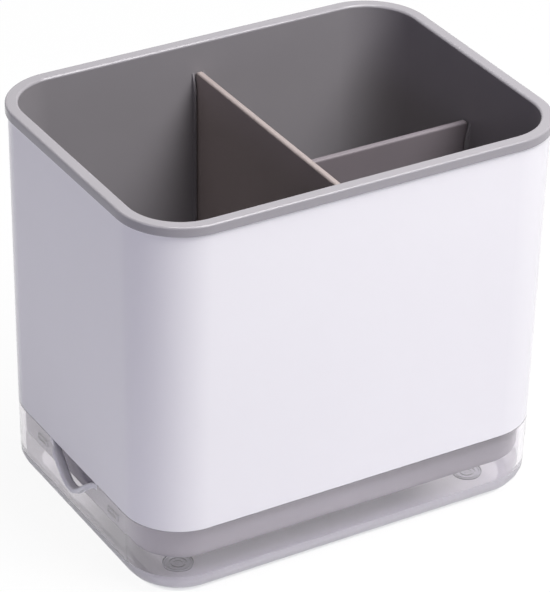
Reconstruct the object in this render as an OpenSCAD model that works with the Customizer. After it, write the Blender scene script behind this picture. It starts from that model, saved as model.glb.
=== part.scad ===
// Kitchen sink organizer: a grey bin with two lift-out dividers hangs by its rim in a
// white sleeve, and the sleeve stands on a clear drip tray with a pour spout.
// Origin: on the worktop, under the middle. +X right, +Y to the back, +Z up. Millimetres.

/* [Overall] */
// Length over the rim, left to right
length = 170; // [150:1:200]
// Depth over the rim, front to back
depth = 125; // [108:1:150]
// Height from the worktop to the top of the rim
height = 151; // [120:1:180]
// Plan corner radius of the rim
corner_r = 24; // [19:0.5:30]

/* [Inner bin] */
// Height of the rim
rim_h = 3.8; // [3:0.1:6]
// How far the rim stands out past the sleeve
rim_overhang = 1; // [0.6:0.1:2]
// Radius on the rim's edges
rim_edge_r = 0.6; // [0.3:0.1:1]
// Wall of the bin
bin_wall = 1.8; // [1.4:0.1:2.4]
// Floor of the bin
bin_floor = 2; // [1.5:0.1:3]
// Draft of the bin's walls, in degrees
bin_draft = 1.25; // [1:0.05:1.6]
// Outside radius between the bin's walls and floor
bin_edge_r = 4.5; // [3:0.5:7]
// How far the bin reaches down below the sleeve
bin_reach = 14.5; // [10:0.5:17]

/* [Drain slots] */
// Width of a slot in the bin's floor
slot_w = 3.6; // [2:0.1:4]
// Length of a slot, end to end
slot_len = 26; // [15:1:32]
// Spacing of the slots along the bin
slot_pitch = 13; // [9:0.5:20]
// Clear floor between the slots and the dividers
slot_margin = 8; // [5:0.5:12]

/* [Dividers] */
// Thickness of a divider
divider_t = 2.6; // [2:0.1:3.2]
// Top of the main divider below the top of the rim
main_drop = 11.5; // [6:0.5:25]
// Top of the cross divider below the top of the rim
cross_drop = 25; // [14:0.5:45]
// Thickness of a guide rib
rib_t = 1.2; // [1:0.1:2]
// How far a guide rib stands out
rib_reach = 1.6; // [1.2:0.1:3]
// How far the bin's guide ribs stop below the top of the divider that they guide
rib_drop = 0.6; // [0:0.1:5]
// Gap between a divider's face and its guide rib
guide_gap = 0.3; // [0.2:0.05:0.5]
// Gap between a divider's edge and the wall beside it
edge_gap = 0.4; // [0.3:0.05:0.8]
// How much larger a divider's lower corner radius is than the bin's inside floor radius
corner_ease = 1; // [0.5:0.1:2]

/* [Catches] */
// Width of a catch on the bin's end wall
catch_w = 7.5; // [5:0.5:12]
// Height of a catch
catch_h = 2.6; // [2:0.1:3.5]
// How far a catch stands out
catch_reach = 0.8; // [0.4:0.1:1]
// Spacing of the two catches on an end wall
catch_spacing = 54; // [46:1:58]
// Top of a catch below the sleeve
catch_drop = 5.8; // [4:0.1:6.5]

/* [Sleeve] */
// Wall of the sleeve
sleeve_wall = 1.6; // [1.4:0.1:2.2]
// Draft of the sleeve's walls, in degrees
sleeve_draft = 0.7; // [0.3:0.1:1]
// Gap between the sleeve and the bin under the rim
sleeve_gap = 0.4; // [0.3:0.05:0.8]
// Height of the sleeve's lower edge above the worktop
sleeve_bottom = 29; // [24:0.5:34]

/* [Drip tray] */
// Wall of the tray
tray_wall = 2; // [1.6:0.1:2.4]
// Floor of the tray
tray_floor = 2; // [1.8:0.1:3]
// Draft of the tray's walls, in degrees
tray_draft = 1; // [0.5:0.1:2]
// Outside radius between the tray's walls and floor
tray_edge_r = 9; // [5:0.5:11]
// Height of the bead that centres the sleeve
bead_h = 1; // [0.6:0.1:1.5]
// Thickness of that bead
bead_t = 0.8; // [0.6:0.1:0.9]
// Gap between the bead and the sleeve's rebate
bead_gap = 0.3; // [0.2:0.05:0.4]
// Width of the pour spout at the tray's edge
spout_w = 36; // [24:1:40]
// Depth of the pour spout
spout_depth = 10.3; // [7:0.1:11]
// Thickness of the spout's lip
lip_t = 2.2; // [1.5:0.1:3]
// How far the lip stands out past the tray's edge
lip_reach = 2.2; // [1:0.1:2.4]

/* [Foot pads] */
// Diameter of a foot pad
pad_d = 11; // [8:0.5:16]
// Thickness of a foot pad
pad_t = 1.6; // [1.4:0.1:1.8]
// How far a pad stands out below the tray
pad_proud = 0.8; // [0.6:0.1:1]
// Gap round a pad in its socket
pad_gap = 0.2; // [0.1:0.05:0.4]

/* [Hidden] */
$fn = 96;
arc_steps = 8;
// How far a cut runs past the face that it opens
overrun = 1;

// Half the straight run of each side; the four plan corners turn about its ends
run_x = length / 2 - corner_r;
run_y = depth / 2 - corner_r;

// Levels
rim_z = height - rim_h;
bin_z = sleeve_bottom - bin_reach;
bin_floor_z = bin_z + bin_floor;
main_top_z = height - main_drop;
cross_top_z = height - cross_drop;
tray_z = pad_proud;
tray_floor_z = tray_z + tray_floor;
spout_z = sleeve_bottom - spout_depth;

// Distances out from a corner's axis, at a height
sleeve_top_u = corner_r - rim_overhang;
bin_top_u = sleeve_top_u - sleeve_wall - sleeve_gap;
function sleeve_u(z) = sleeve_top_u - (rim_z - z) * tan(sleeve_draft);
function bin_u(z) = bin_top_u - (rim_z - z) * tan(bin_draft);
function bin_in_u(z) = bin_u(z) - bin_wall;
tray_top_u = sleeve_u(sleeve_bottom);
function tray_u(z) = tray_top_u - (sleeve_bottom - z) * tan(tray_draft);
function tray_in_u(z) = tray_u(z) - tray_wall;

// The bead stands on the inner part of the tray's edge, in a rebate of the sleeve
bead_u = tray_in_u(sleeve_bottom) + bead_t;
rebate_u = bead_u + bead_gap;
rebate_z = sleeve_bottom + bead_h + bead_gap;

// Inside floor radii, and the corner radius that lets a divider clear the bin's
bin_in_r = bin_edge_r - bin_wall;
tray_in_r = tray_edge_r - tray_wall;
divider_r = bin_in_r + corner_ease;

// Middle of a guide rib from the middle of the divider that it guides
rib_offset = divider_t / 2 + guide_gap + rib_t / 2;

white_abs = [0.95, 0.95, 0.97];
grey_pp = [0.52, 0.51, 0.52];
clear_ps = [0.85, 0.87, 0.9, 0.4];
silicone = [0.8, 0.8, 0.8];

// Points of an arc about c, from angle a to angle b
function arc(c, r, a, b) =
    [for (i = [0:arc_steps]) let (t = a + (b - a) * i / arc_steps) c + r * [cos(t), sin(t)]];

// Rounded foot of a wall that leans out by draft and would meet the floor at u, z
function foot(u, z, r, draft) = arc([u - r * tan(45 - draft / 2), z + r], r, -90, -draft);

// The same points in the other order
function reversed(points) = [for (i = [len(points) - 1:-1:0]) points[i]];

// Carries a section, drawn as distance from the corner axis and height, once round the plan
module swept() {
    for (half_turn = [0, 180]) rotate([0, 0, half_turn]) {
        translate([run_x, run_y, 0]) rotate([90, 0, 0]) linear_extrude(2 * run_y) children();
        translate([run_x, run_y, 0]) rotate_extrude(angle = 90) children();
        translate([-run_x, run_y, 0]) rotate([90, 0, 90]) linear_extrude(2 * run_x) children();
        translate([-run_x, run_y, 0]) rotate([0, 0, 90]) rotate_extrude(angle = 90) children();
    }
}

// Plate of floor between the corner axes
module floor_middle(z, t) {
    translate([-run_x, -run_y, z]) cube([2 * run_x, 2 * run_y, t]);
}

// Draws a section of the +X end, with distance out from the corner axis, w wide and centred on y
module on_end(y, w) {
    translate([run_x, y + w / 2, 0]) rotate([90, 0, 0]) linear_extrude(w) children();
}

// Draws a section of the back, w wide and centred on x
module on_back(x, w) {
    translate([x - w / 2, run_y, 0]) rotate([90, 0, 90]) linear_extrude(w) children();
}

module bin_section() {
    polygon(concat(
        [[0, bin_z]],
        foot(bin_u(bin_z), bin_z, bin_edge_r, bin_draft),
        [[bin_top_u, rim_z]],
        arc([corner_r - rim_edge_r, rim_z + rim_edge_r], rim_edge_r, -90, 0),
        arc([corner_r - rim_edge_r, height - rim_edge_r], rim_edge_r, 0, 90),
        arc([bin_in_u(height) + rim_edge_r, height - rim_edge_r], rim_edge_r, 90, 180),
        reversed(foot(bin_in_u(bin_floor_z), bin_floor_z, bin_in_r, bin_draft)),
        [[0, bin_floor_z]]));
}

// Upright guide rib on the inside of a wall, up to top_z
module rib_section(top_z) {
    root = bin_wall / 2;
    polygon([
        [bin_in_u(bin_floor_z) - rib_reach, bin_floor_z - bin_floor / 2],
        [bin_in_u(bin_floor_z), bin_floor_z - bin_floor / 2],
        [bin_in_u(top_z) + root, top_z],
        [bin_in_u(top_z) - rib_reach, top_z]]);
}

// Catch with a bevelled lower side, rooted in the wall
module catch_section() {
    top_z = sleeve_bottom - catch_drop;
    low_z = top_z - catch_h;
    root = bin_wall / 2;
    polygon([
        [bin_u(low_z) - root, low_z],
        [bin_u(low_z), low_z],
        [bin_u(top_z) + catch_reach, low_z + catch_h / 2],
        [bin_u(top_z) + catch_reach, top_z],
        [bin_u(top_z) - root, top_z]]);
}

module slot_outline() {
    straight = slot_len - slot_w;
    square([slot_w, straight], center = true);
    for (end = [-1, 1]) translate([0, end * straight / 2]) circle(d = slot_w);
}

// Drain slots in two rows, clear of both dividers
module drain_slots() {
    last_x = run_x + bin_in_u(bin_floor_z) - bin_in_r - slot_w / 2;
    steps = floor((last_x - slot_margin) / slot_pitch);
    row_y = slot_margin + slot_len / 2;
    for (side = [-1, 1], row = [-1, 1], i = [0:steps])
        translate([side * (slot_margin + i * slot_pitch), row * row_y, bin_z - overrun])
            linear_extrude(bin_floor + 2 * overrun) slot_outline();
}

module inner_bin() {
    color(grey_pp) difference() {
        union() {
            swept() bin_section();
            floor_middle(bin_z, bin_floor);
            for (turn = [0, 180], side = [-1, 1]) rotate([0, 0, turn]) {
                on_back(side * rib_offset, rib_t) rib_section(main_top_z - rib_drop);
                on_end(side * catch_spacing / 2, catch_w) catch_section();
            }
            for (side = [-1, 1]) on_end(side * rib_offset, rib_t) rib_section(cross_top_z - rib_drop);
        }
        drain_slots();
    }
}

// Half of a divider's outline, from its middle to the bin wall, up to top_z
module divider_half(near_u, top_z) {
    edge_u = bin_in_u(bin_floor_z) - edge_gap;
    polygon(concat(
        [[near_u, bin_floor_z]],
        foot(edge_u, bin_floor_z, divider_r, bin_draft),
        [[bin_in_u(top_z) - edge_gap, top_z], [near_u, top_z]]));
}

// Divider's thickness with a round top edge, laid out across X and up Z
module divider_thickness(top_z) {
    r = divider_t / 2;
    polygon(concat(
        [[-r, bin_floor_z], [r, bin_floor_z]],
        arc([0, top_z - r], r, 0, 180)));
}

module main_divider() {
    color(grey_pp) {
        intersection() {
            for (turn = [0, 180]) rotate([0, 0, turn])
                on_back(0, divider_t) divider_half(-run_y, main_top_z);
            translate([0, depth / 2, 0]) rotate([90, 0, 0])
                linear_extrude(depth) divider_thickness(main_top_z);
        }
        for (side = [-1, 1]) translate([0, side * rib_offset - rib_t / 2, bin_floor_z])
            cube([divider_t / 2 + rib_reach, rib_t, cross_top_z - bin_floor_z]);
    }
}

module cross_divider() {
    near_x = divider_t / 2 + guide_gap;
    color(grey_pp) intersection() {
        on_end(0, divider_t) divider_half(near_x - run_x, cross_top_z);
        rotate([90, 0, 90]) linear_extrude(length / 2) divider_thickness(cross_top_z);
    }
}

module sleeve_section() {
    polygon([
        [tray_top_u, sleeve_bottom],
        [sleeve_top_u, rim_z],
        [sleeve_top_u - sleeve_wall, rim_z],
        [sleeve_u(rebate_z) - sleeve_wall, rebate_z],
        [rebate_u, rebate_z],
        [rebate_u, sleeve_bottom]]);
}

module outer_sleeve() {
    color(white_abs) swept() sleeve_section();
}

module tray_section() {
    bead_in_u = tray_in_u(sleeve_bottom);
    polygon(concat(
        [[0, tray_z]],
        foot(tray_u(tray_z), tray_z, tray_edge_r, tray_draft),
        [[tray_top_u, sleeve_bottom],
         [bead_u, sleeve_bottom],
         [bead_u, sleeve_bottom + bead_h],
         [bead_in_u, sleeve_bottom + bead_h]],
        reversed(foot(tray_in_u(tray_floor_z), tray_floor_z, tray_in_r, tray_draft)),
        [[0, tray_floor_z]]));
}

// One S-shaped flank after the other, from edge to edge of a notch
function spout_curve(half_w, low_z) = [for (i = [-arc_steps:arc_steps])
    let (t = i / arc_steps)
    [half_w * t, low_z + (sleeve_bottom - low_z) * (1 - cos(180 * t)) / 2]];

module spout_notch() {
    over_z = sleeve_bottom + bead_h + overrun;
    polygon(concat(
        spout_curve(spout_w / 2, spout_z),
        [[spout_w / 2, over_z], [-spout_w / 2, over_z]]));
}

module spout_lip() {
    polygon(concat(
        spout_curve(spout_w / 2 + lip_t, spout_z - lip_t),
        reversed(spout_curve(spout_w / 2, spout_z))));
}

// Carries a notch outline through the tray's left end, from the wall's inner face outwards
module through_left_end(inner_u, outer_u) {
    translate([-run_x - outer_u, 0, 0]) rotate([90, 0, 90]) linear_extrude(outer_u - inner_u) children();
}

module at_feet() {
    for (x = [-1, 1], y = [-1, 1]) translate([x * run_x, y * run_y, 0]) children();
}

module drip_tray() {
    socket_d = pad_d + 2 * pad_gap;
    wall_u = tray_in_u(spout_z - lip_t);
    color(clear_ps) difference() {
        union() {
            difference() {
                union() {
                    swept() tray_section();
                    floor_middle(tray_z, tray_floor);
                }
                through_left_end(wall_u - overrun, corner_r + overrun) spout_notch();
            }
            through_left_end(tray_in_u(sleeve_bottom), tray_top_u + lip_reach) spout_lip();
        }
        at_feet() translate([0, 0, -overrun]) cylinder(d = socket_d, h = pad_t + overrun);
    }
}

module foot_pad(x, y) {
    color(silicone) translate([x * run_x, y * run_y, 0]) cylinder(d = pad_d, h = pad_t);
}
module foot_pad_front_left() foot_pad(-1, -1);
module foot_pad_front_right() foot_pad(1, -1);
module foot_pad_back_left() foot_pad(-1, 1);
module foot_pad_back_right() foot_pad(1, 1);

outer_sleeve();
inner_bin();
main_divider();
cross_divider();
drip_tray();
foot_pad_front_left();
foot_pad_front_right();
foot_pad_back_left();
foot_pad_back_right();
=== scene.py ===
# %% [markdown]
# # A kitchen sink organizer, dressed for a studio photograph
# The organizer is a stack of plain mouldings: a gloss white sleeve, a grey bin with two dividers, and a
# clear tray with a pour spout, on four soft pads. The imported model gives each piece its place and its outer
# size. This script models each moulding again with the rounded edges, ribs and curved spout that the eye
# expects, gives it the finish of its plastic, and lights it as a product on white paper.

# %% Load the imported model
import math

import bmesh
import bpy
from mathutils import Matrix, Vector


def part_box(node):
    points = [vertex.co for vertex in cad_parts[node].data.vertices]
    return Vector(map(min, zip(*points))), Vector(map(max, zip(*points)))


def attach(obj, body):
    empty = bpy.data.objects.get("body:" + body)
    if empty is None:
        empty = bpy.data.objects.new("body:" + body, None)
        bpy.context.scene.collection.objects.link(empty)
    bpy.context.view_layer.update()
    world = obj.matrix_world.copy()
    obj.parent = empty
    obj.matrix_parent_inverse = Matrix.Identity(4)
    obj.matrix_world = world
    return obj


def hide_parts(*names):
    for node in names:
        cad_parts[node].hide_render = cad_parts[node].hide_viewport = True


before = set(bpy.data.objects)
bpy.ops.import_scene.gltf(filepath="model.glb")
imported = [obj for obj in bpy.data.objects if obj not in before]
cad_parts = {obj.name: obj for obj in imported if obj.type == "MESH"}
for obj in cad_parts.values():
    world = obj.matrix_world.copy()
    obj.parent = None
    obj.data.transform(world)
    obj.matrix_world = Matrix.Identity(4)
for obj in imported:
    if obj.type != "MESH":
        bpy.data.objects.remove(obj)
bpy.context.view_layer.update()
MM = 0.001

# %% [markdown]
# ## Sizes
# Every moulding here follows one plan: a rectangle with rounded corners. So each place on a wall is given
# by how far it stands out from the axis of the nearest corner, and how high. The outer sizes are read from
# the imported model, and only what its boxes can't tell, such as walls, drafts and edge radii, is written
# down, in millimetres.

# %% Read the outer sizes
def box_mm(node):
    """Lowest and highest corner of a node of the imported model, in millimetres."""
    low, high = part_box(node)
    return low / MM, high / MM


CORNER_R = 24.0
sleeve_low, sleeve_high = box_mm("outer_sleeve")
bin_low, bin_high = box_mm("inner_bin")
tray_low = box_mm("drip_tray")[0]
main_low, main_high = box_mm("main_divider")
cross_low, cross_high = box_mm("cross_divider")
pad_low, pad_high = box_mm("foot_pad_front_left")
RUN_X = bin_high.x - CORNER_R
RUN_Y = bin_high.y - CORNER_R
print(f"corner axes at x {RUN_X:.1f} and y {RUN_Y:.1f} mm, rim at {bin_high.z:.1f} mm")

# %% [markdown]
# ## Camera
# The view is a long lens from the front left, about thirty degrees up, which keeps the upright edges nearly
# parallel. A camera can be aimed with a constraint, but its three axes are set here directly, so that the
# slight roll of the picture is one more number.

# %% Place the camera
VIEW_LEFT_OF_FRONT = 31.1
VIEW_ELEVATION = 30.5
VIEW_ROLL = 1.3
VIEW_DISTANCE = 1177.0
VIEW_LENS = 198.0
AIM = Vector((0, 0, 74.0))


def camera_axes(azimuth, elevation, roll):
    """Right, up and forward of a camera, with angles in degrees."""
    a, e, r = (math.radians(x) for x in (azimuth, elevation, roll))
    forward = Vector((math.sin(a) * math.cos(e), math.cos(a) * math.cos(e), -math.sin(e)))
    right = Vector((math.cos(a), -math.sin(a), 0))
    up = right.cross(forward)
    return right * math.cos(r) + up * math.sin(r), up * math.cos(r) - right * math.sin(r), forward


right, up, forward = camera_axes(VIEW_LEFT_OF_FRONT, VIEW_ELEVATION, VIEW_ROLL)
camera_data = bpy.data.cameras.new("camera")
camera_data.lens = VIEW_LENS
camera = bpy.data.objects.new("camera", camera_data)
bpy.context.scene.collection.objects.link(camera)
spin = Matrix((right, up, -forward)).transposed()
camera.matrix_world = Matrix.Translation((AIM - forward * VIEW_DISTANCE) * MM) @ spin.to_4x4()
bpy.context.scene.camera = camera
print("camera at", [round(x, 3) for x in camera.location])

# %% [markdown]
# ## Three tools for moulded shells
# A wall section drawn as corners with radii becomes a smooth line. Stations walk once round the plan. A
# loft joins one loop of points to the next with clean four-sided faces. Modifiers could bevel a rough block
# instead, but a section with its radii drawn in gives even fillets and lets a rib, a catch or the spout
# grow out of the wall itself.

# %% Round the corners of a section
FILLET_STEPS = 6


def rounded(corners):
    """Points of a line whose corners, given as (u, z, radius), are rounded.

    A radius of 0 keeps the point.
    """
    path = []
    for i, (u, z, radius) in enumerate(corners):
        here = Vector((u, z))
        if radius == 0:
            path.append(here)
            continue
        back = (Vector(corners[i - 1][:2]) - here).normalized()
        ahead = (Vector(corners[(i + 1) % len(corners)][:2]) - here).normalized()
        half = back.angle(ahead) / 2
        centre = here + (back + ahead).normalized() * radius / math.sin(half)
        arm = here + back * radius / math.tan(half) - centre
        sweep = math.copysign(math.pi - 2 * half, back.x * ahead.y - back.y * ahead.x)
        for step in range(FILLET_STEPS + 1):
            path.append(centre + Matrix.Rotation(-sweep * step / FILLET_STEPS, 2) @ arm)
    return path


print(f"each rounded corner of a section has {FILLET_STEPS + 1} points")

# %% [markdown]
# A moulded wall keeps its section all the way round, so the plan is walked once and the section is set up
# at each station. A curve with a bevel profile could do the same, but stations can carry extra marks where
# a wall gets a rib, a catch or the spout.

# %% Walk round the plan
CORNER_STEPS = 18
RIGHT_END, BACK, LEFT_END, FRONT = range(4)


def walk(marks=None):
    """Stations once round the plan as (origin, direction, side, place along that side).

    The side is None in a corner. marks lists extra places on a side, from its middle.
    """
    stations = []
    for side in range(4):
        turn = math.radians(90 * side)
        out = Vector((math.cos(turn), math.sin(turn)))
        along = Vector((-out.y, out.x))
        reach, half = (RUN_X, RUN_Y) if side in (RIGHT_END, LEFT_END) else (RUN_Y, RUN_X)
        for mark in sorted((marks or {}).get(side, [])):
            stations.append((out * reach + along * mark, out, side, mark))
        for step in range(CORNER_STEPS + 1):
            angle = turn + math.radians(90 * step / CORNER_STEPS)
            direction = Vector((math.cos(angle), math.sin(angle)))
            stations.append((out * reach + along * half, direction, None, 0.0))
    return stations


def stand(station, u, z):
    """The place at distance u out from a station and height z."""
    spot = station[0] + station[1] * u
    return Vector((spot.x, spot.y, z))


print(len(walk()), "stations once round the plain plan")

# %% [markdown]
# A loft makes the skin between stations, and one function finishes each piece: it welds the seams, keeps
# creases sharp, shades the rest smoothly and ties the piece to the body that it moves with. Subdivision
# could smooth the walls too, but it would soften edges that a steel mould leaves crisp.

# %% Loft loops and make pieces
WELD = 0.0005
CREASE = math.radians(32)


def loft(mesh, loops, ring=True, wrap=False):
    """Joins loops of equal length with four-sided faces, and returns the loops of new vertices.

    ring closes each loop on itself, and wrap joins the last loop to the first.
    """
    rows = [[mesh.verts.new(point) for point in loop] for loop in loops]
    size = len(rows[0])
    for i in range(len(rows) - (0 if wrap else 1)):
        here, ahead = rows[i], rows[(i + 1) % len(rows)]
        for j in range(size - (0 if ring else 1)):
            k = (j + 1) % size
            mesh.faces.new((here[j], here[k], ahead[k], ahead[j]))
    return rows


def piece(mesh, name, body, node, material):
    """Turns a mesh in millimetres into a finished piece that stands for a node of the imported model."""
    bmesh.ops.remove_doubles(mesh, verts=mesh.verts, dist=WELD)
    bmesh.ops.recalc_face_normals(mesh, faces=mesh.faces)
    mesh.transform(Matrix.Scale(MM, 4))
    data = bpy.data.meshes.new(name)
    mesh.to_mesh(data)
    mesh.free()
    data.shade_smooth()
    data.set_sharp_from_angle(angle=CREASE)
    data.materials.append(material)
    thing = bpy.data.objects.new(name, data)
    bpy.context.scene.collection.objects.link(thing)
    thing.modifiers.new("even_shading", "WEIGHTED_NORMAL").keep_sharp = True
    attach(thing, body)
    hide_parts(node)
    print(f"{name}: {len(data.vertices)} vertices, {len(data.polygons)} faces")
    return thing

# %% [markdown]
# ## Finishes
# Two opaque plastics, a clear one and a soft one make the organizer, each with the finishes that its mould
# gives. A material starts here from what it is and how it was moulded, because the mould's polish decides
# the gloss, and the flow of the melt leaves slight streaks. Pictures of plastic could be wrapped round the
# pieces, but nodes give streaks and grain in real sizes. Colours are written as sRGB hex values and turned
# to linear light by one function.

# %% Build materials from nodes
# A Mix node's colour sockets, which share their names with its other kinds of value
MIX_DARK, MIX_PALE, MIX_RESULT = 6, 7, 2


def linear(colour):
    """Linear RGBA of an sRGB hex colour such as #a0a0a0."""
    parts = [int(colour[i:i + 2], 16) / 255 for i in (1, 3, 5)]
    return [p / 12.92 if p <= 0.04045 else ((p + 0.055) / 1.055) ** 2.4 for p in parts] + [1.0]


def add(tree, kind, inputs=None, **settings):
    """Adds a node, sets its fields, and gives its inputs a value or a link from another node's output."""
    node = tree.nodes.new(kind)
    for field, value in settings.items():
        setattr(node, field, value)
    for key, value in (inputs or {}).items():
        if isinstance(value, bpy.types.NodeSocket):
            tree.links.new(value, node.inputs[key])
        else:
            node.inputs[key].default_value = value
    return node


def new_tree(name):
    """A new material with an empty node tree."""
    material = bpy.data.materials.new(name)
    material.use_nodes = True
    material.node_tree.nodes.clear()
    return material, material.node_tree


def per_metre(size_mm):
    """Noise scale that gives features of about this size."""
    return 1 / (size_mm * MM)


print("a middle grey in linear light:", round(linear("#808080")[0], 3))

# %% [markdown]
# ### Moulded plastic that light doesn't pass
# ABS for the sleeve comes from a polished mould: a clear gloss over an even white, with only a slow
# waviness left by shrinkage. Polypropylene for the bin and its dividers comes from a mould with a fine
# spark-eroded grain: a soft satin, a little waxy, with faint streaks where the melt flowed. The bin's rim
# and outside come from a polished half of the mould, so they are glossier. Their lighter grey is painted
# light, and the darker grey inside is painted shade. The main divider is a little warmer and lighter, and
# the cross divider's darker grey is painted shade. All are the same build of nodes with other sizes, so one
# function makes them. The grain of a real mould is near 0.05 mm, too fine to show, so it is drawn coarser.

# %% Make ABS and polypropylene
def moulded_plastic(name, pale, dark, ior, shine, gloss, flow_mm, grain_mm, grain_depth_mm):
    """An opaque moulding: two close tones in slow streaks, a roughness range and a fine relief."""
    material, tree = new_tree(name)
    place = add(tree, "ShaderNodeTexCoord").outputs["Object"]
    flow = add(tree, "ShaderNodeTexNoise", {"Vector": place, "Scale": per_metre(flow_mm), "Detail": 3.0})
    tone = add(tree, "ShaderNodeMix", {
        "Factor": flow.outputs["Fac"], MIX_DARK: linear(dark), MIX_PALE: linear(pale)}, data_type="RGBA")
    grain = add(tree, "ShaderNodeTexNoise", {
        "Vector": place, "Scale": per_metre(grain_mm), "Detail": 2.0})
    rough = add(tree, "ShaderNodeMapRange", {
        "Value": grain.outputs["Fac"], "To Min": gloss[0], "To Max": gloss[1]})
    relief = add(tree, "ShaderNodeBump", {
        "Height": grain.outputs["Fac"], "Strength": 1.0, "Distance": grain_depth_mm * MM})
    skin = add(tree, "ShaderNodeBsdfPrincipled", {
        "Base Color": tone.outputs[MIX_RESULT], "Roughness": rough.outputs["Result"], "IOR": ior,
        "Specular IOR Level": shine, "Normal": relief.outputs["Normal"]})
    add(tree, "ShaderNodeOutputMaterial", {"Surface": skin.outputs["BSDF"]})
    return material


ABS_IOR = 1.54
PP_IOR = 1.49
SATIN = {"ior": PP_IOR, "gloss": (0.3, 0.38), "flow_mm": 25, "grain_mm": 0.6, "grain_depth_mm": 0.012}

# An even white under a clear gloss, whose reflections wave slightly
abs_white = moulded_plastic("abs_white_moulded_gloss", "#f6f3f7", "#f3f0f4", ior=ABS_IOR, shine=0.5,
                            gloss=(0.14, 0.2), flow_mm=60, grain_mm=18, grain_depth_mm=0.02)
# A middle grey with a soft, waxy sheen, darkened as painted shade for the bin's inside
pp_grey_painted_shade = moulded_plastic("polypropylene_grey_satin_painted_shade", "#949094", "#8d898d", shine=0.2, **SATIN)
# The same sheen on a browner grey
pp_warm = moulded_plastic("polypropylene_warm_grey_moulded_satin", "#aca09d", "#a59996", shine=0.25, **SATIN)
# The same sheen on a deeper grey, which is painted shade on the cross divider
pp_dark_painted_shade = moulded_plastic("polypropylene_dark_grey_satin_painted_shade", "#877f84", "#80787d", shine=0.25, **SATIN)
# A lighter grey, which is painted light on the bin's rim and outside,
# glossy enough for bright lines along its rounded edges
pp_polished_painted_light = moulded_plastic("polypropylene_grey_polished_painted_light", "#a29ea3", "#9c989d", ior=PP_IOR,
                              shine=0.5, gloss=(0.12, 0.18), flow_mm=25, grain_mm=6, grain_depth_mm=0.005)
print("opaque plastics:", abs_white.name, pp_grey_painted_shade.name, pp_polished_painted_light.name, pp_warm.name, pp_dark_painted_shade.name)

# %% [markdown]
# ### Clear plastic and silicone
# General purpose polystyrene is glass clear with a high index, so edges flash and thick corners look smoky.
# A polished mould leaves a slow ripple. The tray's rounded foot comes from an etched part of the mould,
# which scatters light and makes it paler, and the lip of the spout is frosted until it is nearly white. The
# pads are clear silicone with a satin skin. A ray that looks for a lamp passes these plastics straight on
# and a little dimmed. Light could be traced through their curved walls instead, but it would come out as
# bright grains.

# %% Make polystyrene and silicone
def clear_plastic(name, colour, passed, ior, roughness, clarity, ripple_mm, ripple_depth_mm):
    """A moulding that light passes, with a slow ripple in its surface."""
    material, tree = new_tree(name)
    place = add(tree, "ShaderNodeTexCoord").outputs["Object"]
    ripple = add(tree, "ShaderNodeTexNoise", {
        "Vector": place, "Scale": per_metre(ripple_mm), "Detail": 2.0})
    haze = add(tree, "ShaderNodeMapRange", {
        "Value": ripple.outputs["Fac"], "To Min": roughness[0], "To Max": roughness[1]})
    relief = add(tree, "ShaderNodeBump", {
        "Height": ripple.outputs["Fac"], "Strength": 1.0, "Distance": ripple_depth_mm * MM})
    skin = add(tree, "ShaderNodeBsdfPrincipled", {
        "Base Color": linear(colour), "Roughness": haze.outputs["Result"], "IOR": ior,
        "Transmission Weight": clarity, "Normal": relief.outputs["Normal"]})
    clear = add(tree, "ShaderNodeBsdfTransparent", {"Color": linear(passed)})
    lamp_ray = add(tree, "ShaderNodeLightPath").outputs["Is Shadow Ray"]
    mixed = add(tree, "ShaderNodeMixShader", {
        0: lamp_ray, 1: skin.outputs["BSDF"], 2: clear.outputs["BSDF"]})
    add(tree, "ShaderNodeOutputMaterial", {"Surface": mixed.outputs[0]})
    return material


PS_IOR = 1.59
SILICONE_IOR = 1.41
PS_PASSED = "#dedee2"
ETCHED = {"ior": PS_IOR, "roughness": (0.3, 0.42), "ripple_mm": 3, "ripple_depth_mm": 0.01}

# Glass clear, with a ripple that bends what lies behind it
ps_clear = clear_plastic("polystyrene_clear_moulded", "#f4f1f5", PS_PASSED, ior=PS_IOR,
                         roughness=(0.005, 0.02), clarity=1.0, ripple_mm=9, ripple_depth_mm=0.02)
# Pale and blurred, so that the paper behind it shows only as a tone
ps_etched = clear_plastic("polystyrene_clear_etched_mould", "#e4e0e6", PS_PASSED, clarity=0.65, **ETCHED)
# Nearly white, so that the lip draws a light line round the spout
ps_frosted = clear_plastic("polystyrene_clear_frosted_lip", "#f6f4f8", PS_PASSED, clarity=0.15, **ETCHED)
# Almost clear, so that a disc shows mostly by its rings
silicone = clear_plastic("silicone_clear_moulded_satin", "#fcfcff", "#f4f4f7", ior=SILICONE_IOR,
                         roughness=(0.2, 0.3), clarity=0.97, ripple_mm=8, ripple_depth_mm=0.005)
print("clear plastics:", ps_clear.name, ps_etched.name, ps_frosted.name, silicone.name)

# %% [markdown]
# ## Sleeve
# The white sleeve is open at both ends and a little wider at the top, so that it leaves its mould. Its
# lower edge has a rebate that drops over a bead on the tray, and its corner is nearly sharp, so that the
# sleeve ends in a crisp line. A block could be hollowed and bevelled instead, but one closed section
# carried round the plan gives an even wall.

# %% Model the sleeve
SLEEVE_WALL = 1.6
SLEEVE_DRAFT = math.tan(math.radians(0.7))
SLEEVE_FOOT_R = 0.15
SLEEVE_TOP_R = 0.4
REBATE_R = 0.2
BEAD_H = 1.0
BEAD_T = 0.8
BEAD_GAP = 0.3
TRAY_WALL = 2.0

sleeve_bottom = sleeve_low.z
sleeve_top_u = sleeve_high.x - RUN_X


def sleeve_u(z):
    """How far the sleeve's outer face stands out at a height."""
    return sleeve_top_u - (sleeve_high.z - z) * SLEEVE_DRAFT


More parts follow.
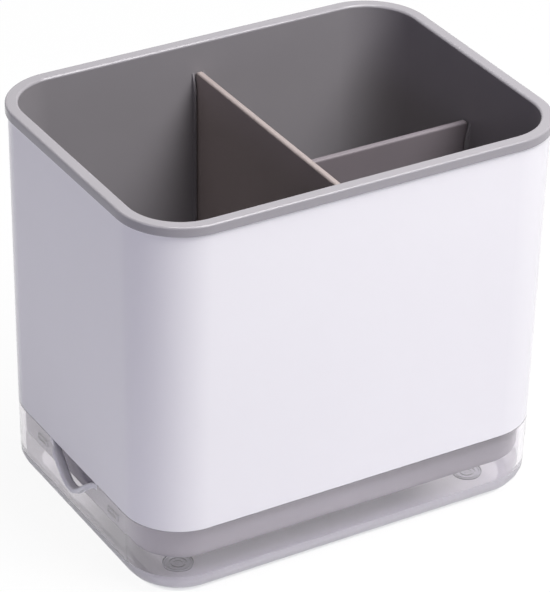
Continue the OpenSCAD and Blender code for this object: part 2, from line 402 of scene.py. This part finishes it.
bead_u = sleeve_u(sleeve_bottom) - TRAY_WALL + BEAD_T
rebate_u = bead_u + BEAD_GAP
rebate_z = sleeve_bottom + BEAD_H + BEAD_GAP
sleeve_section = rounded([
    (sleeve_u(sleeve_bottom), sleeve_bottom, SLEEVE_FOOT_R),
    (sleeve_top_u, sleeve_high.z, SLEEVE_TOP_R),
    (sleeve_top_u - SLEEVE_WALL, sleeve_high.z, SLEEVE_TOP_R),
    (sleeve_u(rebate_z) - SLEEVE_WALL, rebate_z, REBATE_R),
    (rebate_u, rebate_z, REBATE_R),
    (rebate_u, sleeve_bottom, REBATE_R)])
mesh = bmesh.new()
loft(mesh, [[stand(s, u, z) for u, z in sleeve_section] for s in walk()], wrap=True)
piece(mesh, "sleeve_shell", "sleeve", "outer_sleeve", abs_white)

# %% [markdown]
# ## Bin
# The grey bin hangs in the sleeve by its flat rim. Its inside has pairs of ribs that hold the dividers, its
# end walls carry two small catches each, and slots in its floor let the water out. Ribs and catches could
# be joined on with Booleans, but here the wall itself steps in or out at stations set on their edges, which
# keeps the mesh one skin.

# %% Ribs and catches as steps in the wall
RIB_T = 1.2
RIB_REACH = 1.6
RIB_DROP = 0.6
RIB_EDGE = 0.4
RIB_LEAD = 6.0
GUIDE_GAP = 0.3
DIVIDER_T = cross_high.y - cross_low.y
CATCH_W = 7.5
CATCH_H = 2.6
CATCH_REACH = 0.8
CATCH_SPACING = 54.0
CATCH_DROP = 5.8
CATCH_EDGE = 0.2
CATCH_FRAME = 0.6
CATCH_HOLLOW = 1.5

rib_offset = DIVIDER_T / 2 + GUIDE_GAP + RIB_T / 2
rib_top = {FRONT: main_high.z - RIB_DROP, BACK: main_high.z - RIB_DROP, RIGHT_END: cross_high.z - RIB_DROP}
catch_z = sleeve_bottom - CATCH_DROP - CATCH_H / 2


def slope(distance, width):
    """0 outside an edge, 1 inside it by more than width, and a straight slope between."""
    return min(1.0, max(0.0, distance / width))


def rib_step(side, place, z):
    """How far a guide rib stands in from the bin's wall. Its top end runs out into the wall."""
    if side not in rib_top:
        return 0.0
    flank = slope(RIB_T / 2 - abs(abs(place) - rib_offset), RIB_EDGE / 2)
    return flank * RIB_REACH * slope(rib_top[side] - z, RIB_LEAD)


def catch_step(side, place, z):
    """How far a catch, a small framed block, stands out from the bin's end wall."""
    if side not in (RIGHT_END, LEFT_END):
        return 0.0
    inside = min(CATCH_W / 2 - abs(abs(place) - CATCH_SPACING / 2), CATCH_H / 2 - abs(z - catch_z))
    return CATCH_REACH * slope(inside, CATCH_EDGE) - CATCH_HOLLOW * slope(inside - CATCH_FRAME, CATCH_EDGE)


def both_sides(middle, offsets):
    """Places on either side of two middles, one at plus and one at minus."""
    return [sign * middle + turn * offset for sign in (-1, 1) for turn in (-1, 1) for offset in offsets]


catch_edges = [0, CATCH_EDGE, CATCH_FRAME, CATCH_FRAME + CATCH_EDGE]
rib_marks = both_sides(rib_offset, [RIB_T / 2, RIB_T / 2 - RIB_EDGE / 2])
catch_marks = both_sides(CATCH_SPACING / 2, [CATCH_W / 2 - edge for edge in catch_edges])
print(f"ribs rise to {rib_top[FRONT]:.1f} and {rib_top[RIGHT_END]:.1f} mm, catches at {catch_z:.1f} mm")

# %% [markdown]
# The section runs from the flat floor inside, up the inner wall, over the rim and down the outside to the
# flat bottom. Extra rows of points are set where ribs and catches begin and end.

# %% Draw the bin's section and floor
BIN_WALL = 1.8
BIN_FLOOR = 2.0
BIN_DRAFT = math.tan(math.radians(1.25))
BIN_EDGE_R = 4.5
RIM_INNER_R = 1.0
RIM_OUTER_R = 0.8
RIM_UNDER_R = 0.4
RIM_ROOT_R = 0.3
SLEEVE_GAP = 0.4
FLOOR_U = 9.0
SLOT_W = 3.6
SLOT_LEN = 26.0
SLOT_PITCH = 13.0
SLOT_MARGIN = 8.0
SLOT_EDGE = 0.4
SLOT_STEPS = 10

rim_z = sleeve_high.z
bin_top_u = sleeve_top_u - SLEEVE_WALL - SLEEVE_GAP
bin_floor_z = bin_low.z + BIN_FLOOR


def bin_u(z):
    """How far the bin's outer wall stands out at a height."""
    return bin_top_u - (rim_z - z) * BIN_DRAFT


inner_rows = sorted(z for top in set(rib_top.values()) for z in (top - RIB_LEAD, top, top + RIB_EDGE))
catch_rows = [catch_z + turn * (CATCH_H / 2 - edge) for turn in (-1, 1) for edge in catch_edges]
outer_rows = sorted(catch_rows, reverse=True)
bin_inside = rounded(
    [(FLOOR_U, bin_floor_z, 0), (bin_u(bin_floor_z) - BIN_WALL, bin_floor_z, BIN_EDGE_R - BIN_WALL)]
    + [(bin_u(z) - BIN_WALL, z, 0) for z in inner_rows]
    + [(bin_u(bin_high.z) - BIN_WALL, bin_high.z, RIM_INNER_R), (CORNER_R, bin_high.z, 0)])[:-1]
bin_outside = rounded(
    [(bin_u(bin_high.z) - BIN_WALL, bin_high.z, 0), (CORNER_R, bin_high.z, RIM_OUTER_R),
     (CORNER_R, rim_z, RIM_UNDER_R), (bin_top_u, rim_z, RIM_ROOT_R)]
    + [(bin_u(z), z, 0) for z in outer_rows]
    + [(bin_u(bin_low.z), bin_low.z, BIN_EDGE_R), (FLOOR_U, bin_low.z, 0)])[1:]


def bin_loop(station):
    """The bin's section at a station, with any rib or catch there."""
    side, place = station[2:]
    floor_edge, wall = bin_inside[0], bin_inside[1:]
    inside = [floor_edge] + [Vector((u - rib_step(side, place, z), z)) for u, z in wall]
    outside = [Vector((u + catch_step(side, place, z), z)) for u, z in bin_outside]
    return [stand(station, u, z) for u, z in inside + outside]


def slot_loop(x, y, width, z):
    """A drain slot's outline with round ends, along Y."""
    half_run = (SLOT_LEN - SLOT_W) / 2
    points = []
    for step in range(2 * SLOT_STEPS):
        angle = math.pi * (step + 0.5) / SLOT_STEPS
        end = half_run if angle < math.pi else -half_run
        points.append(Vector((x + width / 2 * math.cos(angle), y + end + width / 2 * math.sin(angle), z)))
    return points


def fill(mesh, rows):
    """Fills a flat floor that the first closed row bounds, with the other rows as holes in it."""
    edges = [mesh.edges.get(pair) for row in rows for pair in zip(row, row[1:] + row[:1])]
    bmesh.ops.triangle_fill(mesh, use_beauty=True, edges=edges)


print(f"the bin's section has {len(bin_inside) + len(bin_outside)} points")

# %% [markdown]
# The drain slots go through the floor with eased edges. A Boolean could cut them, but here the slots are
# lofted first and the floor is filled round them, which leaves no cut edges to mend.

# %% Model the bin
mesh = bmesh.new()
bin_stations = walk({
    FRONT: rib_marks, BACK: rib_marks, RIGHT_END: rib_marks + catch_marks, LEFT_END: catch_marks})
loops = loft(mesh, [bin_loop(s) for s in bin_stations], ring=False, wrap=True)
slot_columns = int((RUN_X - SLOT_MARGIN) // SLOT_PITCH) + 1
slot_x = [SLOT_MARGIN + column * SLOT_PITCH for column in range(slot_columns)]
slot_y = SLOT_MARGIN + SLOT_LEN / 2
slot_heights = [(bin_floor_z, SLOT_EDGE), (bin_floor_z - SLOT_EDGE, 0), (bin_low.z + SLOT_EDGE, 0),
                (bin_low.z, SLOT_EDGE)]
slots = []
for x in [-x for x in slot_x] + slot_x:
    for y in (-slot_y, slot_y):
        slots.append(loft(mesh, [slot_loop(x, y, SLOT_W + 2 * grow, z) for z, grow in slot_heights]))
fill(mesh, [[loop[0] for loop in loops]] + [slot[0] for slot in slots])
fill(mesh, [[loop[-1] for loop in loops]] + [slot[-1] for slot in slots])
bin_shell = piece(mesh, "bin_shell", "bin", "inner_bin", pp_grey_painted_shade)
print(f"{len(bin_stations)} stations round the bin, {len(slots)} drain slots")

# %% [markdown]
# The bin is polished on its rim and outside, and satin inside. The polished faces also take the lighter
# grey, which is painted light, and the satin faces the darker one, which is painted shade. Two materials
# could meet at a painted mask, but the direction in which a face looks already tells the two halves of the
# mould apart.

# %% Polish the rim and the outside, and paint light on them
# Least lean of a face, as a share of its normal, that counts
LEAN = 0.02
SATIN_PAINTED_SHADE_SIDE, POLISHED_PAINTED_LIGHT_SIDE = range(2)

bin_shell.data.materials.append(pp_polished_painted_light)
for face in bin_shell.data.polygons:
    middle = face.center / MM
    axis = Vector((max(-RUN_X, min(RUN_X, middle.x)), max(-RUN_Y, min(RUN_Y, middle.y)), middle.z))
    outside = face.normal.dot((middle - axis).normalized()) > LEAN
    on_top = middle.z > rim_z and face.normal.z > -LEAN
    face.material_index = POLISHED_PAINTED_LIGHT_SIDE if outside or on_top else SATIN_PAINTED_SHADE_SIDE
polished = sum(face.material_index == POLISHED_PAINTED_LIGHT_SIDE for face in bin_shell.data.polygons)
print(f"{polished} of the bin's {len(bin_shell.data.polygons)} faces are polished")

# %% [markdown]
# ## Dividers
# Both dividers are plates with a rounded top, which is where a hand takes hold of them. The main one
# carries a channel of two ribs for the end of the cross one. A plate could be an extruded outline with a
# bevel, but stacking outlines by height lets the ends lean with the bin's walls and the ribs stop short of
# the top.

# %% Stack outlines into a plate
EDGE_GAP = 0.4
PLATE_EDGE = 0.4
PLATE_TOP_R = 0.9
CORNER_SPARE = 1.0
PLATE_CORNER_R = BIN_EDGE_R - BIN_WALL + CORNER_SPARE
LEAST_RISE = 0.5
QUARTER = [math.radians(90 * step / FILLET_STEPS) for step in range(FILLET_STEPS + 1)]


def plate_heights(low, high, rib_high):
    """Heights for a plate's outlines: its lower edge, its corners, a rib's top and its rounded top."""
    rows = [low + PLATE_EDGE * (1 - math.cos(a)) for a in QUARTER]
    corner_rises = [PLATE_CORNER_R * (1 - math.cos(a)) for a in QUARTER]
    rows += [low + rise for rise in corner_rises if rise > LEAST_RISE]
    rows += [rib_high - RIB_EDGE, rib_high]
    rows += [high - PLATE_TOP_R * (1 - math.sin(a)) for a in QUARTER]
    return sorted(rows)


def edge_inset(z, low, high):
    """How far the rounded lower and upper edges draw the outline in."""
    below = max(0.0, PLATE_EDGE - (z - low))
    above = max(0.0, PLATE_TOP_R - (high - z))
    return (PLATE_EDGE - math.sqrt(PLATE_EDGE ** 2 - below ** 2)
            + PLATE_TOP_R - math.sqrt(max(0.0, PLATE_TOP_R ** 2 - above ** 2)))


def wall_end(run, z, low):
    """Where a plate's end lies at a height: off the bin's wall by the gap, and rounded at the floor."""
    below = max(0.0, PLATE_CORNER_R - (z - low))
    drawn_in = PLATE_CORNER_R - math.sqrt(max(0.0, PLATE_CORNER_R ** 2 - below ** 2))
    return run + bin_u(z) - BIN_WALL - EDGE_GAP - drawn_in


def outline(ends, half, ribs, reach):
    """A plate's outline at one height as (along, across), anticlockwise, with ribs on its positive side."""
    low, high = ends
    radius = min(PLATE_EDGE, half)
    bend = min(RIB_EDGE / 2, reach)

    def corner(along, across, start):
        return [(along + radius * math.cos(start + a), across + radius * math.sin(start + a))
                for a in QUARTER]

    points = corner(high - radius, half - radius, 0)
    for middle in sorted(ribs, reverse=True):
        for side in (1, -1):
            step = [(middle + side * RIB_T / 2, half), (middle + side * RIB_T / 2, half + reach - bend),
                    (middle + side * (RIB_T / 2 - bend), half + reach)]
            points += step[::side]
    points += corner(low + radius, half - radius, math.pi / 2)
    points += corner(low + radius, radius - half, math.pi)
    return points + corner(high - radius, radius - half, 3 * math.pi / 2)


def plate(ends_at, low, high, ribs, rib_high):
    """Loops of (along, across, z) from the bottom of a plate to its top."""
    loops = []
    for z in plate_heights(low, high, rib_high):
        inset = edge_inset(z, low, high)
        ends = ends_at(z)
        reach = 0.0 if z >= rib_high else RIB_REACH
        points = outline((ends[0] + inset, ends[1] - inset), DIVIDER_T / 2 - inset, ribs, reach)
        loops.append([(along, across, z) for along, across in points])
    return loops


print(f"plates {DIVIDER_T:.1f} mm thick with corners of {PLATE_CORNER_R:.1f} mm")

# %% [markdown]
# The ends of both plates follow the bin's walls with an even gap, so that they slide out upwards. One stack
# of outlines serves for both: the main plate is turned to run from front to back, and the cross plate lies
# along the length.

# %% Model the dividers
def main_ends(z):
    """Front and back end of the main divider at a height."""
    end = wall_end(RUN_Y, z, main_low.z)
    return -end, end


def cross_ends(z):
    """Left and right end of the cross divider at a height."""
    return cross_low.x, wall_end(RUN_X, z, cross_low.z)


mesh = bmesh.new()
loops = plate(main_ends, main_low.z, main_high.z, (-rib_offset, rib_offset), cross_high.z)
rows = loft(mesh, [[(across, along, z) for along, across, z in loop] for loop in loops])
for row in (rows[0], rows[-1]):
    mesh.faces.new(row)
piece(mesh, "main_divider_plate", "main_divider", "main_divider", pp_warm)

mesh = bmesh.new()
loops = plate(cross_ends, cross_low.z, cross_high.z, (), cross_high.z - PLATE_TOP_R)
rows = loft(mesh, loops)
for row in (rows[0], rows[-1]):
    mesh.faces.new(row)
# The cross divider's darker grey is painted shade
piece(mesh, "cross_divider_plate", "cross_divider", "cross_divider", pp_dark_painted_shade)

# %% [markdown]
# ## Drip tray
# The clear tray is a shallow basin with a wide fillet at its foot and a bead along its upper edge. At the
# left end the edge dips in a smooth wave and the wall leans out into a beak, so that water pours clean.
# Light has to enter and leave it as it does real plastic, so the tray is one closed skin with its true
# wall, and the beak is a change of section from station to station.

# %% Shape the tray's wall
TRAY_FLOOR = 2.0
TRAY_DRAFT = math.tan(math.radians(1.0))
TRAY_EDGE_R = 9.0
TRAY_FLAT_U = 10.5
EDGE_R = 0.15
BEAD_EASE = 0.15
LEAST_EASE = 0.02
LIP_R = 0.9
LIP_BLEND = 12
SPOUT_W = 36.0
SPOUT_DEPTH = 10.3
SPOUT_STATION = 1.0
SPOUT_MARGIN = 2.0
LIP_T = 2.2
LIP_LOW_R = 0.8
LIP_ROOT_R = 0.6
LIP_GROWTH = 4
FLARE_LOW = 11.0
FLARE = 0.8
WALL_ROWS = 8

tray_floor_z = tray_low.z + TRAY_FLOOR


def tray_u(z):
    """How far the tray's outer wall stands out at a height, away from the spout."""
    return sleeve_u(sleeve_bottom) - (sleeve_bottom - z) * TRAY_DRAFT


beak_reach = -tray_low.x - RUN_X - tray_u(sleeve_bottom)


def wave(place):
    """Share of the spout's depth along the left end: 1 in the middle, 0 away from it, a wave between."""
    return (1 + math.cos(math.pi * place / (SPOUT_W / 2))) / 2 if abs(place) < SPOUT_W / 2 else 0.0


def tray_loop(station):
    """The tray's section at a station, from the flat floor inside, over the edge, to the flat bottom."""
    share = wave(station[3]) if station[2] == LEFT_END else 0.0
    top = sleeve_bottom - SPOUT_DEPTH * share
    blend = min(1.0, LIP_BLEND * share)
    bead = BEAD_H * (1 - blend)
    edge_r = EDGE_R + (LIP_R - EDGE_R) * blend
    step_u = BEAD_T + (TRAY_WALL / 2 - BEAD_T) * blend
    ease = BEAD_EASE * (1 - blend) + LEAST_EASE
    grown = min(1.0, LIP_GROWTH * share)
    grown *= grown * (3 - 2 * grown)
    low_r, root_r = LIP_LOW_R * grown, LIP_ROOT_R * grown
    lip_z = top - LIP_T

    def beak(z):
        return FLARE * share * max(0.0, (z - FLARE_LOW) / (top - FLARE_LOW)) ** 2

    inside = rounded([(TRAY_FLAT_U, tray_floor_z, 0),
                      (tray_u(tray_floor_z) - TRAY_WALL, tray_floor_z, TRAY_EDGE_R - TRAY_WALL),
                      (tray_u(top) - TRAY_WALL, top, 0)])[:-1]
    outside = rounded([(tray_u(top), top, 0), (tray_u(tray_low.z), tray_low.z, TRAY_EDGE_R),
                       (TRAY_FLAT_U, tray_low.z, 0)])[1:]
    shares = [step / WALL_ROWS for step in range(1, WALL_ROWS)]
    rise = [inside[-1].y + s * (top - edge_r - inside[-1].y) for s in shares]
    fall = [lip_z - root_r + s * (outside[0].y - lip_z + root_r) for s in shares]
    inner, wall = tray_u(top) - TRAY_WALL + beak(top), tray_u(lip_z) + beak(lip_z)
    outer = wall + (tray_u(sleeve_bottom) + beak_reach - wall) * grown
    top_outer = max(outer, tray_u(top) + beak(top))
    edge = [(inner + edge_r * (1 - math.cos(a)), top + bead - edge_r * (1 - math.sin(a))) for a in QUARTER]
    edge += [(inner + step_u - ease, top + bead), (inner + step_u, top + bead * (1 - ease)),
             (inner + step_u, top + bead * ease), (inner + step_u + ease, top)]
    edge += [(top_outer - edge_r * (1 - math.sin(a)), top - edge_r * (1 - math.cos(a))) for a in QUARTER]
    edge += [(outer - low_r * (1 - math.cos(a)), lip_z + low_r * (1 - math.sin(a))) for a in QUARTER]
    edge += [(wall + root_r * (1 - math.sin(a)), lip_z - root_r * (1 - math.cos(a))) for a in QUARTER]
    points = (list(inside) + [(tray_u(z) - TRAY_WALL + beak(z), z) for z in rise] + edge
              + [(tray_u(z) + beak(z), z) for z in fall] + list(outside))
    return [stand(station, u, z) for u, z in points]


print(f"spout {SPOUT_W:.0f} mm wide leans out {beak_reach:.1f} mm")

# %% [markdown]
# Stations stand close together along the spout, where the section changes, and elsewhere only in the
# corners. The sockets for the pads are turned shapes in the flat bottom, which is filled round them as the
# bin's floor is.

# %% Model the tray with its pad sockets
PRESS = 0.03
SOCKET_LEAD = 0.2
CIRCLE_STEPS = 48
pad_r = (pad_high.x - pad_low.x) / 2
pad_places = {f"{y_name}_{x_name}": (x, y) for y_name, y in (("front", -RUN_Y), ("back", RUN_Y))
              for x_name, x in (("left", -RUN_X), ("right", RUN_X))}


def circle(middle, radius, z):
    """Points of a level circle."""
    turns = [2 * math.pi * k / CIRCLE_STEPS for k in range(CIRCLE_STEPS)]
    return [Vector((middle[0] + radius * math.cos(a), middle[1] + radius * math.sin(a), z)) for a in turns]


def turned(mesh, middle, profile):
    """A turned shape from (radius, z) points, closed by a flat face on its last circle."""
    rows = loft(mesh, [circle(middle, radius, z) for radius, z in profile])
    mesh.faces.new(rows[-1])
    return rows[0]


mesh = bmesh.new()
spout_steps = round((SPOUT_W / 2 + SPOUT_MARGIN) / SPOUT_STATION)
spout_marks = [SPOUT_STATION * step for step in range(-spout_steps, spout_steps + 1)]
loops = loft(mesh, [tray_loop(s) for s in walk({LEFT_END: spout_marks})], ring=False, wrap=True)
socket_r = pad_r - PRESS
socket = [(socket_r + SOCKET_LEAD, tray_low.z), (socket_r, tray_low.z + SOCKET_LEAD),
          (socket_r, pad_high.z - PRESS)]
sockets = [turned(mesh, middle, socket) for middle in pad_places.values()]
fill(mesh, [[loop[0] for loop in loops]])
fill(mesh, [[loop[-1] for loop in loops]] + sockets)
tray = piece(mesh, "tray_shell", "tray", "drip_tray", ps_clear)
print(f"{len(spout_marks)} stations along the spout, {len(sockets)} pad sockets")

# %% [markdown]
# The rounded foot of the tray is etched, and the outside and top of the spout's lip are frosted. As on the
# bin, the place and direction of each face tell which part of the mould made it.

# %% Etch the foot and frost the lip
# Faces that look straight down, such as the roofs of the sockets, lie beyond this
LEVEL = 0.999
BOTTOM_CLEAR = 0.05
LIP_OUT = 0.3
LIP_UP = 0.5
CLEAR_FACE, ETCHED_FACE, FROSTED_FACE = range(3)

tray.data.materials.append(ps_etched)
tray.data.materials.append(ps_frosted)
for face in tray.data.polygons:
    middle = face.center / MM
    normal = face.normal
    low_down = tray_low.z + BOTTOM_CLEAR < middle.z < tray_low.z + TRAY_EDGE_R
    lip_low_z = sleeve_bottom - SPOUT_DEPTH * wave(middle.y) - LIP_T - LIP_ROOT_R
    at_lip = middle.x < 0 and abs(middle.y) < SPOUT_W / 2 and middle.z > lip_low_z
    if at_lip and (normal.x < -LIP_OUT or normal.z > LIP_UP):
        face.material_index = FROSTED_FACE
    elif low_down and -LEVEL < normal.z < -LEAN:
        face.material_index = ETCHED_FACE
    else:
        face.material_index = CLEAR_FACE
finished = [face.material_index for face in tray.data.polygons]
print(f"{finished.count(ETCHED_FACE)} etched faces, {finished.count(FROSTED_FACE)} frosted ones")

# %% [markdown]
# ## Foot pads
# A soft disc sits in a socket under each corner of the tray. Its underside has rings, which hold on a wet
# worktop. Rings could be cut into a cylinder, but a profile turned about the disc's axis has them from the
# start.

# %% Model the pads
GROOVE = 0.12
PAD_EDGE_H = 0.4
# Inner and outer edge of each ring, and the width of its flanks, as shares of the disc's radius
RINGS = ((0.2875, 0.45), (0.6, 0.75), (0.9, 0.95))
FLANK = 0.0375

pad_profile = []
for inner, outer in RINGS:
    pad_profile += [(inner - FLANK, GROOVE), (inner, 0), (outer, 0), (outer + FLANK, GROOVE)]
pad_profile.pop()
last_edge = RINGS[-1][1]
for turn in (math.radians(45), math.radians(90)):
    pad_profile.append((last_edge + (1 - last_edge) * math.sin(turn), PAD_EDGE_H * (1 - math.cos(turn))))
pad_profile.append((1, pad_high.z))
for name, middle in pad_places.items():
    mesh = bmesh.new()
    first = turned(mesh, middle, [(share * pad_r, z) for share, z in pad_profile])
    mesh.faces.new(first)
    piece(mesh, f"pad_{name}", "tray", f"foot_pad_{name}", silicone)
print(f"pads {2 * pad_r:.1f} mm wide and {pad_high.z:.2f} mm high")

# %% [markdown]
# ## Floor, world and lamps
# The object stands on white paper under a soft key light from the front right and a second one overhead,
# with a weak bluish fill from low on the left. For light that bounces, the paper and the world are real
# greys, so that the shaded sides stay shaded. For the camera, and for what gloss and clear plastic show of
# the surroundings, they are white. The camera sees a little of the paper's shading and a painted contact
# shadow, a thin dark line round the tray. Through the clear tray most of the shading shows, and less of it
# away from a point at the front left: this is painted light on the paper towards the ends, in place of
# light that comes in under the bin. White paper under stronger lamps would be simpler, but the white
# sleeve would be lost against it.

# %% Lay the floor
PAPER_SIZE = 3.0
PAPER_DROP = 0.05
PAPER_BOUNCE = "#d2d2d8"
PAPER_WHITE = "#ffffff"
# Share of its shading that the paper shows to the camera, through clear plastic, and through it far off
SHADOW_SHARE = 0.07
SHADOW_SHARE_THROUGH = 0.86
SHADOW_SHARE_ENDS = 0.36
# Through clear plastic the share falls with distance from this point: painted light on the paper at the
# tray's ends
SHADOW_MIDDLE = Vector((-25, -45, 0))
PAINTED_LIGHT_FROM = 54.0
PAINTED_LIGHT_TO = 84.0
# Width and tone of the painted contact shadow, where the paper darkens close to the tray
CONTACT = 1.6
CONTACT_SHADOW_TONE = "#a4a4ac"
CONTACT_SAMPLES = 8


def seen_directly(tree):
    """1 for rays from the camera, from gloss and through clear plastic, and 0 for light that bounces."""
    path = add(tree, "ShaderNodeLightPath").outputs
    seen = path["Is Camera Ray"]
    for ray in ("Is Glossy Ray", "Is Transmission Ray"):
        seen = add(tree, "ShaderNodeMath", {0: seen, 1: path[ray]}, operation="MAXIMUM").outputs[0]
    return seen


paper, tree = new_tree("paper_white_matt")
bounce = add(tree, "ShaderNodeBsdfDiffuse", {"Color": linear(PAPER_BOUNCE)})
# Ambient occlusion darkens the paper's white near the tray: a painted contact shadow
near = add(tree, "ShaderNodeAmbientOcclusion", {"Distance": CONTACT * MM}, samples=CONTACT_SAMPLES)
through = add(tree, "ShaderNodeLightPath").outputs["Is Transmission Ray"]
open_air = add(tree, "ShaderNodeMath", {0: near.outputs["AO"], 1: through}, operation="MAXIMUM")
tone = add(tree, "ShaderNodeMix", {
    "Factor": open_air.outputs[0], MIX_DARK: linear(CONTACT_SHADOW_TONE), MIX_PALE: linear(PAPER_WHITE)},
    data_type="RGBA")
white = add(tree, "ShaderNodeEmission", {"Color": tone.outputs[MIX_RESULT], "Strength": 1.0})
shaded = add(tree, "ShaderNodeBsdfDiffuse", {"Color": linear(PAPER_WHITE)})
spot = add(tree, "ShaderNodeNewGeometry").outputs["Position"]
off = add(tree, "ShaderNodeVectorMath", {0: spot, 1: SHADOW_MIDDLE * MM}, operation="DISTANCE")
painted_light_fade = add(tree, "ShaderNodeMapRange", {
    "Value": off.outputs["Value"], "From Min": PAINTED_LIGHT_FROM * MM, "From Max": PAINTED_LIGHT_TO * MM,
    "To Min": SHADOW_SHARE_THROUGH, "To Max": SHADOW_SHARE_ENDS}, interpolation_type="SMOOTHSTEP")
share = add(tree, "ShaderNodeMapRange", {
    "Value": through, "To Min": SHADOW_SHARE, "To Max": painted_light_fade.outputs["Result"]})
shown = add(tree, "ShaderNodeMixShader", {
    0: share.outputs["Result"], 1: white.outputs[0], 2: shaded.outputs[0]})
mixed = add(tree, "ShaderNodeMixShader", {
    0: seen_directly(tree), 1: bounce.outputs[0], 2: shown.outputs[0]})
add(tree, "ShaderNodeOutputMaterial", {"Surface": mixed.outputs[0]})

mesh = bmesh.new()
bmesh.ops.create_grid(mesh, x_segments=1, y_segments=1, size=PAPER_SIZE / 2)
data = bpy.data.meshes.new("floor")
mesh.to_mesh(data)
mesh.free()
data.materials.append(paper)
floor = bpy.data.objects.new("floor", data)
floor.location.z = -PAPER_DROP * MM
bpy.context.scene.collection.objects.link(floor)
print(f"paper {PAPER_SIZE:.0f} m wide")

# %% [markdown]
# The lamps are square soft boxes, as in a small product studio, and each one's level says how brightly it
# lights a facing white card. A sun lamp would be simpler, but it leaves no soft window in the gloss.

# %% Set the world and the lamps
WORLD_LEVEL = 0.05
WORLD_TONE = "#f4f4ff"

world = bpy.data.worlds.new("studio")
world.use_nodes = True
world.node_tree.nodes.clear()
tree = world.node_tree
fill_light = add(tree, "ShaderNodeBackground", {"Color": linear(WORLD_TONE), "Strength": WORLD_LEVEL})
white = add(tree, "ShaderNodeBackground", {"Color": linear(PAPER_WHITE), "Strength": 1.0})
mixed = add(tree, "ShaderNodeMixShader", {
    0: seen_directly(tree), 1: fill_light.outputs[0], 2: white.outputs[0]})
add(tree, "ShaderNodeOutputWorld", {"Surface": mixed.outputs[0]})
bpy.context.scene.world = world


def soft_box(name, right_of_front, elevation, distance, size, level, colour="#ffffff"):
    """A square soft light that faces the object. A level of 1 lights a facing white card to white."""
    a, e = math.radians(right_of_front), math.radians(elevation)
    toward = Vector((math.sin(a) * math.cos(e), -math.cos(a) * math.cos(e), math.sin(e)))
    lamp = bpy.data.lights.new(name, "AREA")
    lamp.shape = "SQUARE"
    lamp.size = size
    lamp.energy = level * math.pi ** 2 * distance ** 2
    lamp.color = linear(colour)[:3]
    thing = bpy.data.objects.new(name, lamp)
    thing.location = AIM * MM + toward * distance
    thing.rotation_euler = toward.to_track_quat("Z", "Y").to_euler()
    bpy.context.scene.collection.objects.link(thing)
    return thing


lamps = [
    soft_box("key", right_of_front=28, elevation=52, distance=1.0, size=0.53, level=0.84),
    soft_box("overhead", right_of_front=60, elevation=82, distance=1.4, size=0.8, level=0.76),
    soft_box("low_left", right_of_front=-75, elevation=6, distance=1.2, size=0.6, level=0.14,
             colour="#e0daff")]
print("lamps:", [lamp.name for lamp in lamps])
bpy.context.scene.view_settings.view_transform = "Standard"
